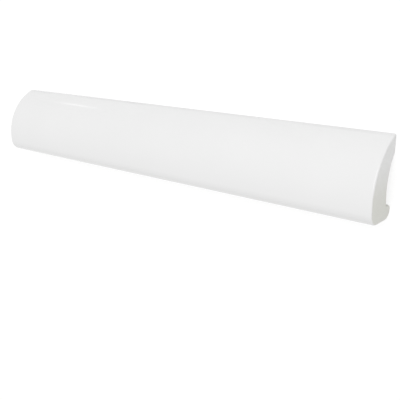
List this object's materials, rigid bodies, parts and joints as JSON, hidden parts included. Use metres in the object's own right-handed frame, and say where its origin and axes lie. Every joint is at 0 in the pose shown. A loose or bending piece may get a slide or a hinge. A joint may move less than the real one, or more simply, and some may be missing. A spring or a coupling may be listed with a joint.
{
  "type": "bullnose trim tile",
  "caption": "White glazed ceramic bullnose trim tile with a rounded face, a thin nose and a hollow back, for finishing the edge of a tiled wall.",
  "frame": {"origin": "middle of the tile's back, on the plane that lies against the wall", "axes": "the tile lies on its back: +X along its length, +Y towards the thin nose at its upper edge, +Z out of the wall through the rounded face"},
  "size_m": [0.2, 0.03, 0.016],
  "materials": {
    "white_glaze": "glossy white glaze over a pale fired body"
  },
  "bodies": {
    "root": {"bullnose_tile": "white_glaze"}
  },
  "joints": []
}
